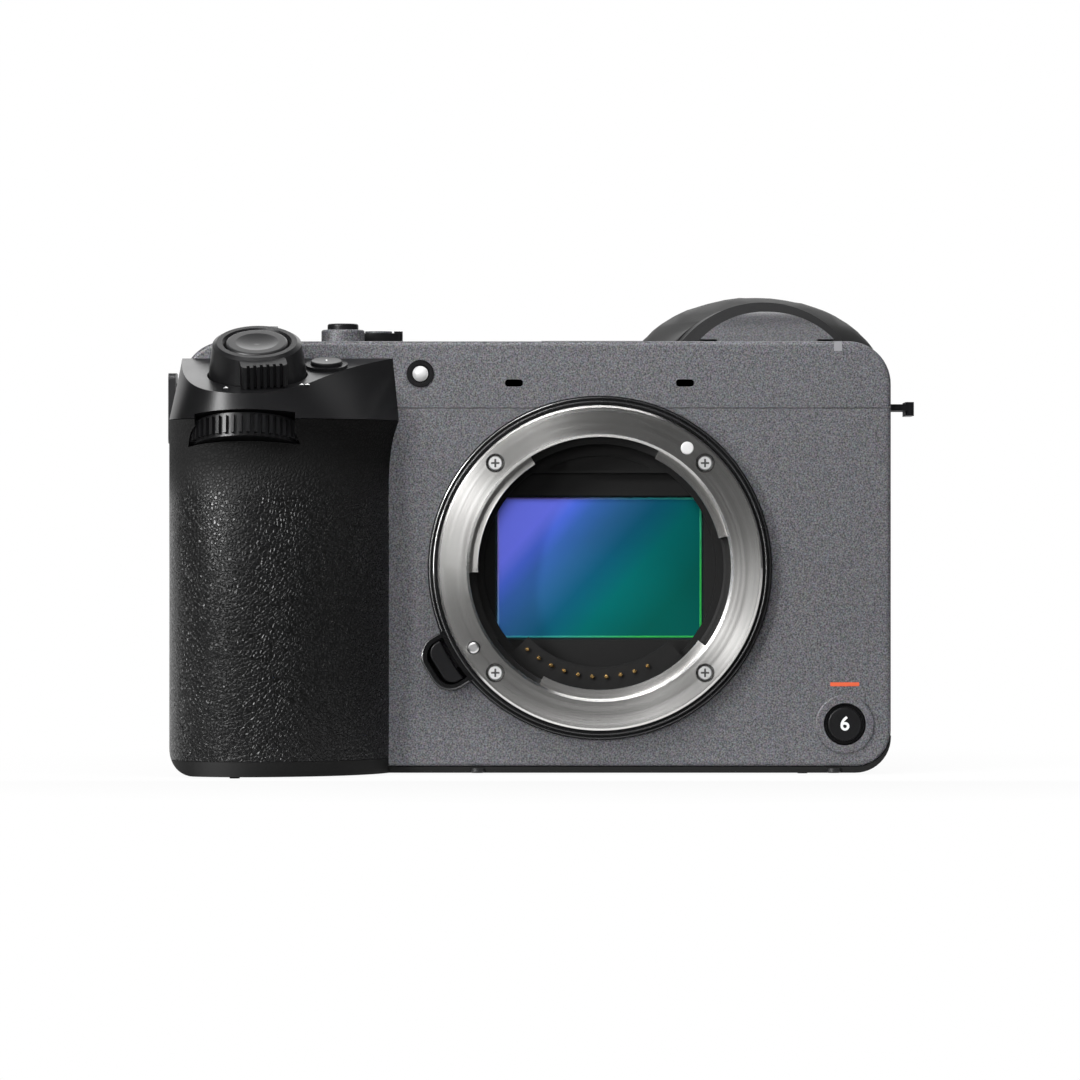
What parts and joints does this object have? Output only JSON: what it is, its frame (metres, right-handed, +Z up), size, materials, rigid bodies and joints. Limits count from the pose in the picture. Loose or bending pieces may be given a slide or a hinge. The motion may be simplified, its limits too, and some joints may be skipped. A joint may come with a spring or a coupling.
{
  "type": "cinema camera",
  "caption": "Box-style full-frame cinema camera body with hand grip, open bayonet lens mount, stabilised sensor, swing-out monitor, tilting viewfinder and working dials, buttons and doors.",
  "frame": {"origin": "axis of the tripod socket on the plane that the feet stand on", "axes": "+X to the right seen from the front, +Y from front to rear along the lens axis, +Z up"},
  "size_m": [0.1364, 0.1033, 0.0883],
  "materials": {
    "cover_paint": "fine speckled satin",
    "leatherette": "pebbled grain",
    "black_plastic": "satin",
    "black_gloss": "semi-gloss",
    "black_metal": "satin black",
    "mount_steel": "turned and brushed",
    "screw_steel": "bright",
    "black_rubber": "matt",
    "alloy": "cast",
    "gold": "plated",
    "white_plastic": "smooth",
    "lamp_lens": "clear",
    "sensor_filter": "coated",
    "sensor_body": "semiconductor and ceramic",
    "screen_glass": "smooth",
    "eyepiece_glass": "coated",
    "circuit_board": "solder mask",
    "cell_shell": "satin"
  },
  "bodies": {
    "camera": {"front_cover": "cover_paint", "rear_cover": "cover_paint", "top_cover": "cover_paint", "base_plate": "black_gloss", "grip_skin": "leatherette", "grip_top": "black_plastic", "chassis": "alloy", "mount_ring": "mount_steel", "mount_surround": "black_plastic", "mount_screws": "screw_steel", "index_dot": "white_plastic", "throat_liner": "black_plastic", "contact_block": "black_plastic", "contact_pins": "gold", "shutter_frame": "black_plastic", "main_board": "circuit_board", "battery": "cell_shell", "card_reader": "black_plastic", "evf_hinge": "black_metal", "accessory_shoe": "black_metal", "lamp_bezel": "black_plastic", "lamp_dome": "white_plastic", "tally_lamp": "lamp_lens", "strap_lugs": "black_metal", "thread_inserts": "screw_steel", "port_connectors": "black_plastic"},
    "blade_1": {"shutter_blade_1": "black_metal"},
    "blade_2": {"shutter_blade_2": "black_metal"},
    "stabiliser": {"stabiliser_frame": "alloy"},
    "sensor_unit": {"sensor": "sensor_body", "sensor_glass": "sensor_filter"},
    "fan": {"fan_rotor": "black_plastic"},
    "battery_door": {"battery_door": "black_gloss"},
    "battery_latch": {"battery_latch": "black_plastic"},
    "card_door": {"card_door": "black_plastic"},
    "viewfinder": {"evf_housing": "cover_paint", "eyecup": "black_rubber", "eyepiece_lens": "eyepiece_glass"},
    "diopter_dial": {"diopter_dial": "black_plastic"},
    "monitor": {"lcd_hinge": "black_plastic", "lcd_panel": "black_plastic", "lcd_glass": "screen_glass"},
    "zoom_lever": {"zoom_lever": "black_plastic"},
    "shutter_button": {"shutter_button": "black_plastic"},
    "front_dial": {"front_dial": "black_plastic"},
    "custom_button": {"custom_button": "black_plastic"},
    "rear_dial": {"rear_dial": "black_plastic"},
    "top_button": {"top_button": "black_plastic"},
    "mode_lever": {"mode_lever": "black_plastic"},
    "record_button": {"record_button": "black_plastic"},
    "release_button": {"release_button": "black_plastic"},
    "lock_pin": {"lock_pin": "screw_steel"},
    "port_door_upper": {"port_door_upper": "black_plastic"},
    "port_door_lower": {"port_door_lower": "black_plastic"},
    "joystick": {"joystick": "black_rubber"},
    "control_wheel": {"control_wheel": "black_plastic"},
    "select_button": {"select_button": "black_plastic"},
    "menu_button": {"menu_button": "black_plastic"},
    "playback_button": {"playback_button": "black_plastic"},
    "delete_button": {"delete_button": "black_plastic"}
  },
  "joints": [
    {"name": "shutter_lift", "type": "slide", "parent": "camera", "child": "blade_1", "axis": [0, 0, 1], "range_m": [0, 0.0262]},
    {"name": "shutter_follow", "type": "slide", "parent": "camera", "child": "blade_2", "axis": [0, 0, 1], "range_m": [0, 0.0131]},
    {"name": "stabiliser_rise", "type": "slide", "parent": "camera", "child": "stabiliser", "axis": [0, 0, 1], "range_m": [-0.001, 0.001], "stiffness_N_per_m": 2000},
    {"name": "sensor_shift", "type": "slide", "parent": "stabiliser", "child": "sensor_unit", "axis": [1, 0, 0], "range_m": [-0.001, 0.001], "stiffness_N_per_m": 1000},
    {"name": "fan_spin", "type": "hinge", "parent": "camera", "child": "fan", "pos_m": [0.02, 0.02, 0.03], "axis": [0, 1, 0], "continuous": true},
    {"name": "battery_door_hinge", "type": "hinge", "parent": "camera", "child": "battery_door", "pos_m": [-0.0487, -0.01665, 0.00115], "axis": [0, -1, 0], "range_deg": [0, 90]},
    {"name": "battery_latch_slide", "type": "slide", "parent": "battery_door", "child": "battery_latch", "axis": [0, -1, 0], "range_m": [0, 0.0015]},
    {"name": "card_door_hinge", "type": "hinge", "parent": "camera", "child": "card_door", "pos_m": [-0.0742, 0.023, 0.0315], "axis": [0, 0, -1], "range_deg": [0, 100]},
    {"name": "viewfinder_tilt", "type": "hinge", "parent": "camera", "child": "viewfinder", "pos_m": [0.031, 0.014, 0.0765], "axis": [1, 0, 0], "range_deg": [0, 90]},
    {"name": "diopter_turn", "type": "hinge", "parent": "viewfinder", "child": "diopter_dial", "pos_m": [0.0132, 0.036, 0.068], "axis": [1, 0, 0], "range_deg": [-110, 110]},
    {"name": "monitor_swing", "type": "hinge", "parent": "camera", "child": "monitor", "pos_m": [0.0486, 0.0304, 0.0285], "axis": [0, 0, -1], "range_deg": [0, 176]},
    {"name": "zoom_turn", "type": "hinge", "parent": "camera", "child": "zoom_lever", "pos_m": [-0.061, -0.0336, 0.0713], "axis": [0, -0.4226, 0.9063], "range_deg": [-20, 20], "stiffness_Nm_per_rad": 0.02},
    {"name": "shutter_press", "type": "slide", "parent": "camera", "child": "shutter_button", "axis": [0, 0.4226, -0.9063], "range_m": [0, 0.0011], "stiffness_N_per_m": 400},
    {"name": "front_dial_turn", "type": "hinge", "parent": "camera", "child": "front_dial", "pos_m": [-0.0628, -0.0375, 0.0605], "axis": [0, 0.225, 0.9744], "continuous": true},
    {"name": "custom_press", "type": "slide", "parent": "camera", "child": "custom_button", "axis": [0, 0.2689, -0.9632], "range_m": [0, 0.0008], "stiffness_N_per_m": 400},
    {"name": "rear_dial_turn", "type": "hinge", "parent": "camera", "child": "rear_dial", "pos_m": [-0.0616, 0.0172, 0.0724], "axis": [1, 0, 0], "continuous": true},
    {"name": "top_press", "type": "slide", "parent": "camera", "child": "top_button", "axis": [0, 0, -1], "range_m": [0, 0.0008], "stiffness_N_per_m": 400},
    {"name": "mode_turn", "type": "hinge", "parent": "camera", "child": "mode_lever", "pos_m": [-0.0402, -0.0035, 0.0784], "axis": [0, 0, 1], "range_deg": [-25, 25]},
    {"name": "record_press", "type": "slide", "parent": "camera", "child": "record_button", "axis": [0, 1, 0], "range_m": [0, 0.0008], "stiffness_N_per_m": 400},
    {"name": "release_press", "type": "slide", "parent": "camera", "child": "release_button", "axis": [0, 1, 0], "range_m": [0, 0.0015], "stiffness_N_per_m": 400},
    {"name": "lock_pin_retract", "type": "slide", "parent": "camera", "child": "lock_pin", "axis": [0, 1, 0], "range_m": [0, 0.0015], "stiffness_N_per_m": 400},
    {"name": "port_door_upper_hinge", "type": "hinge", "parent": "camera", "child": "port_door_upper", "pos_m": [0.05145, -0.0143, 0.045], "axis": [0, 0, -1], "range_deg": [0, 100]},
    {"name": "port_door_lower_hinge", "type": "hinge", "parent": "camera", "child": "port_door_lower", "pos_m": [0.05145, -0.0143, 0.023], "axis": [0, 0, -1], "range_deg": [0, 100]},
    {"name": "joystick_tilt", "type": "hinge", "parent": "camera", "child": "joystick", "pos_m": [-0.037, 0.023, 0.059], "axis": [1, 0, 0], "range_deg": [-10, 10], "stiffness_Nm_per_rad": 0.01},
    {"name": "wheel_turn", "type": "hinge", "parent": "camera", "child": "control_wheel", "pos_m": [-0.052, 0.0264, 0.036], "axis": [0, 1, 0], "continuous": true},
    {"name": "select_press", "type": "slide", "parent": "camera", "child": "select_button", "axis": [0, -1, 0], "range_m": [0, 0.0008], "stiffness_N_per_m": 400},
    {"name": "menu_press", "type": "slide", "parent": "camera", "child": "menu_button", "axis": [0, -1, 0], "range_m": [0, 0.0007], "stiffness_N_per_m": 400},
    {"name": "playback_press", "type": "slide", "parent": "camera", "child": "playback_button", "axis": [0, -1, 0], "range_m": [0, 0.0007], "stiffness_N_per_m": 400},
    {"name": "delete_press", "type": "slide", "parent": "camera", "child": "delete_button", "axis": [0, -1, 0], "range_m": [0, 0.0007], "stiffness_N_per_m": 400}
  ],
  "couplings": [
    {"joint": "shutter_follow", "follows": "shutter_lift", "ratio": 0.5},
    {"joint": "lock_pin_retract", "follows": "release_press", "ratio": 1}
  ]
}
